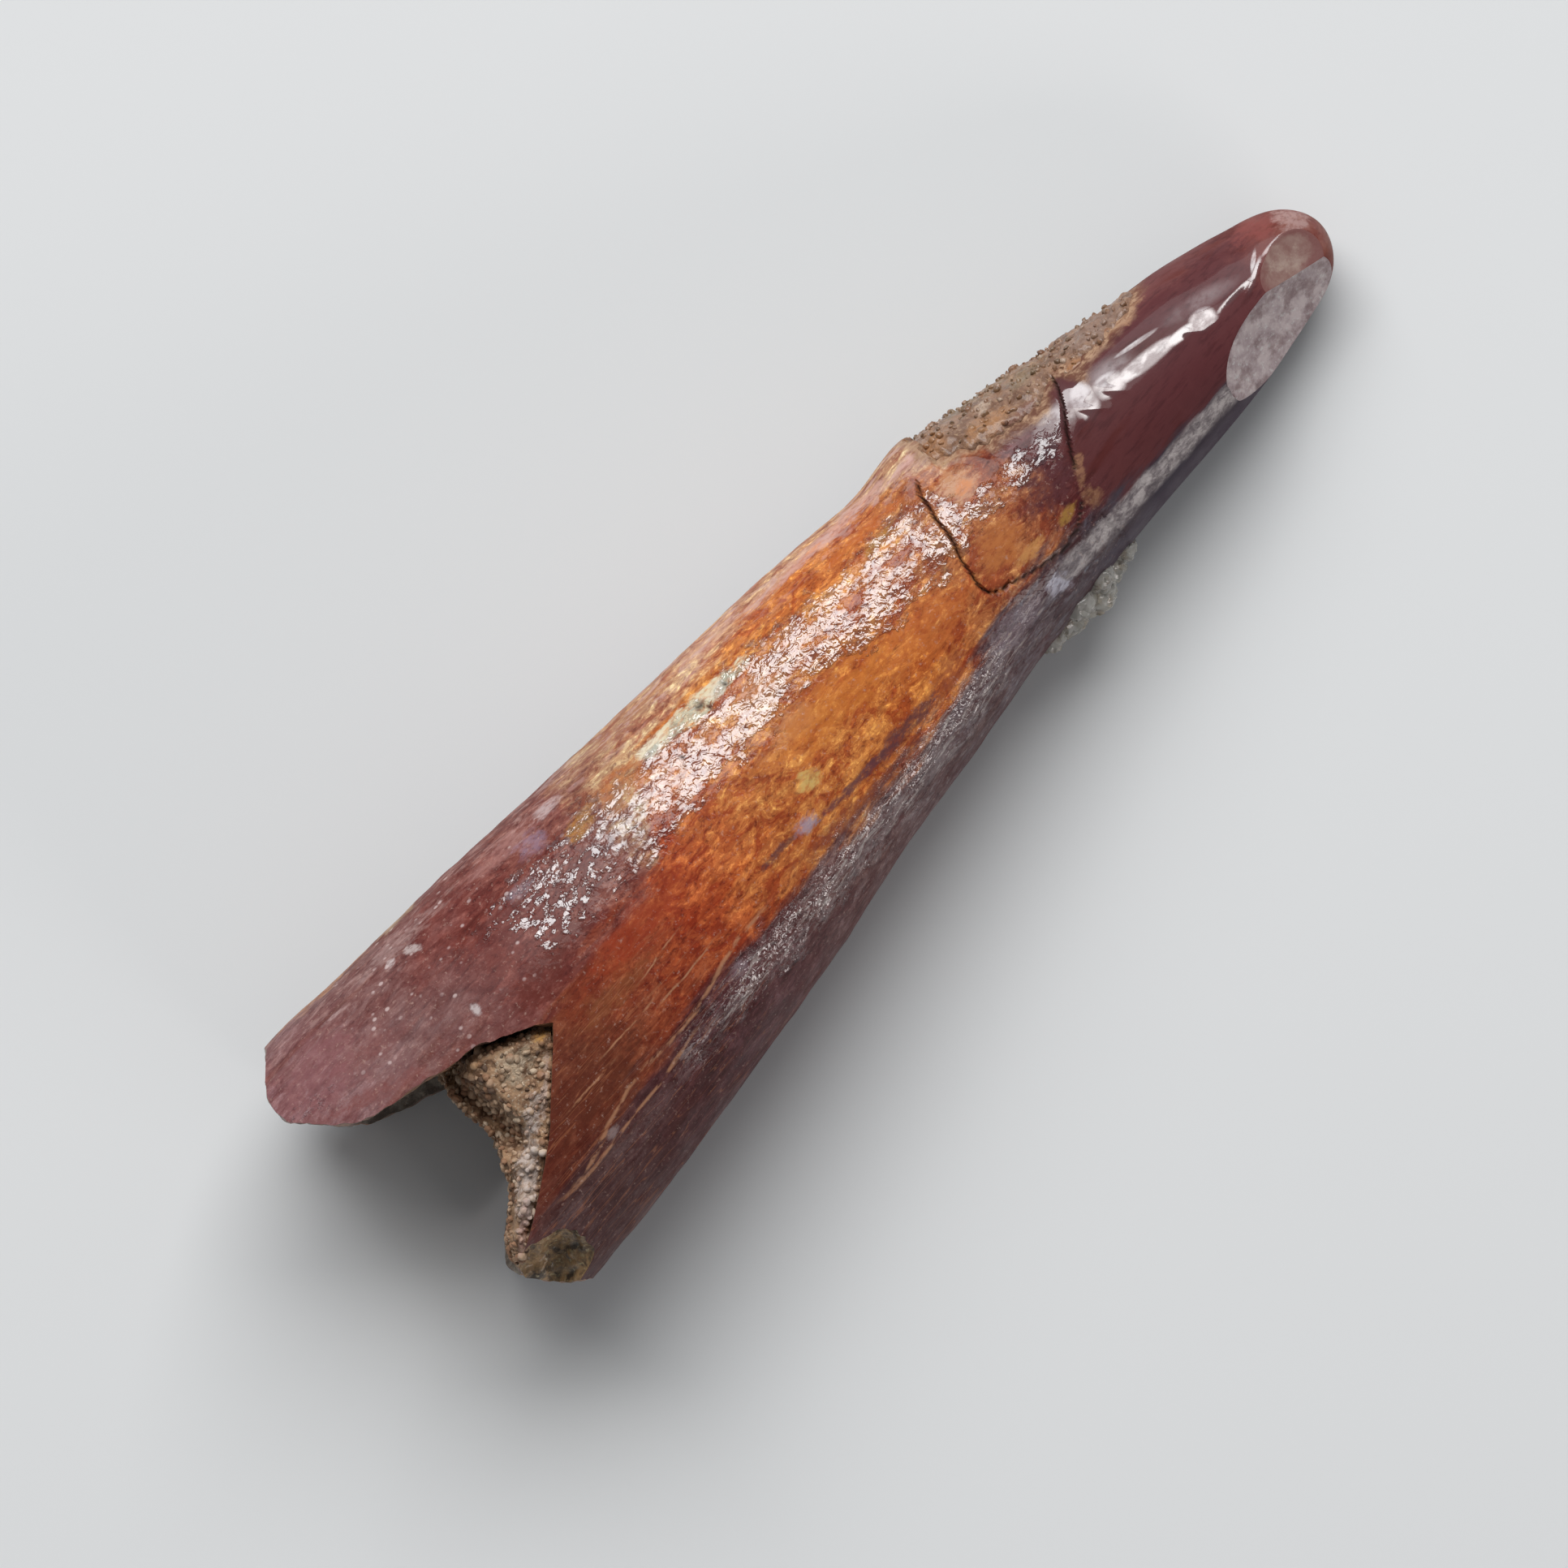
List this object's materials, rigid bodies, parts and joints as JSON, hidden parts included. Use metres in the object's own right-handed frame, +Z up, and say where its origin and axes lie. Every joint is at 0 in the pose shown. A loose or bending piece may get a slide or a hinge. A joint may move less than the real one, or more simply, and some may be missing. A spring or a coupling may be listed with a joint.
{
  "type": "fossil pterosaur tooth",
  "caption": "Fossil pterosaur tooth lying on its side: glossy worn crown, amber root broken open in a V, sandstone in the pulp cavity, sand crust and quartz grains on the crown.",
  "frame": {"origin": "on the surface that the tooth lies on, below the centre of its bounding box", "axes": "+X along the tooth from the broken root to the worn tip, +Z up, +Y towards the side that carries the sand crust"},
  "size_m": [0.027, 0.008, 0.006],
  "materials": {
    "tooth": "glossy fossil dentine and enamel, amber-orange root to dark maroon crown, under a clear consolidant",
    "sandstone": "matt tan sandstone with pale and dark grains",
    "cemented_sand": "satin amber-brown cemented sand",
    "quartz": "translucent grey-tan quartz grains"
  },
  "bodies": {
    "root": {"tooth": "tooth", "pulp_matrix": "sandstone", "sand_crust": "cemented_sand", "quartz_grains": "quartz"}
  },
  "joints": []
}
